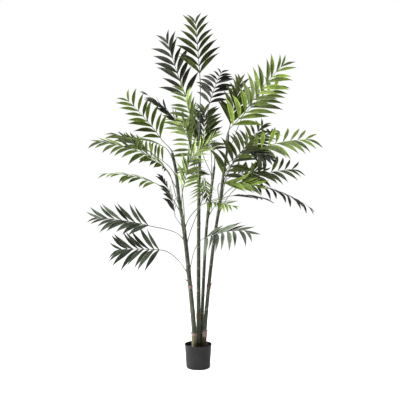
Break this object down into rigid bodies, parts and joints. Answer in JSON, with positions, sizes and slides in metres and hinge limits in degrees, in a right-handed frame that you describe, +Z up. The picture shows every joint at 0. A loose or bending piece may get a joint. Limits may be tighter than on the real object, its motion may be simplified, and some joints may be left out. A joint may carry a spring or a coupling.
{
  "type": "artificial areca palm",
  "caption": "Artificial areca palm on tall slender canes with feathered fronds, standing in a small round filled pot.",
  "frame": {"origin": "centre of the pot's flat underside", "axes": "+Z up along the canes, front towards -Y, +X to the right seen from the front"},
  "size_m": [1.3727, 0.8338, 2.0989],
  "materials": {
    "pot": "matt black, lightly scuffed",
    "filling": "dark rough cement",
    "cane": "satin dark green, paler rings",
    "leaf_bright": "satin coated leaf cloth",
    "leaf_olive": "satin coated leaf cloth",
    "leaf_light": "satin coated leaf cloth",
    "leaf_dark": "glossy coated leaf cloth",
    "leaf_grey": "satin coated leaf cloth, pale edges"
  },
  "bodies": {
    "root": {"pot": "pot", "filling": "filling", "cane_left": "cane", "cane_centre": "cane", "cane_middle": "cane", "cane_right": "cane", "frond_crown_top": "leaf_olive", "frond_top_left": "leaf_dark", "frond_top_right_back": "leaf_dark", "frond_upper_right": "leaf_bright", "frond_upper_right_lower": "leaf_bright", "frond_right_upright": "leaf_olive", "frond_right_arch": "leaf_bright", "frond_right_back_rise": "leaf_olive", "frond_right_low_arch": "leaf_olive", "frond_right_front": "leaf_bright", "frond_right_droop_back": "leaf_dark", "frond_low_right_back": "leaf_dark", "frond_low_front_right": "leaf_bright", "frond_hanging_right": "leaf_grey", "frond_low_left": "leaf_grey", "frond_lowest_left": "leaf_grey", "frond_left_dark_rise": "leaf_dark", "frond_left_level": "leaf_bright", "frond_left_front_level": "leaf_bright", "frond_left_back_level": "leaf_olive", "frond_left_front": "leaf_bright", "frond_left_inner": "leaf_bright", "frond_upper_left": "leaf_bright", "frond_upper_left_edge": "leaf_dark", "frond_centre_pale": "leaf_light", "frond_centre_front": "leaf_light", "frond_centre_left": "leaf_light", "frond_centre_right_back": "leaf_olive", "frond_centre_back": "leaf_dark", "frond_centre_low": "leaf_bright", "frond_centre_right": "leaf_olive", "frond_right_dark": "leaf_dark", "frond_centre_pale_low": "leaf_light", "frond_centre_low_left": "leaf_bright", "frond_right_inner": "leaf_olive", "frond_right_level": "leaf_olive", "frond_back_level": "leaf_olive", "frond_back_left": "leaf_bright", "frond_back_low": "leaf_olive"}
  },
  "joints": []
}
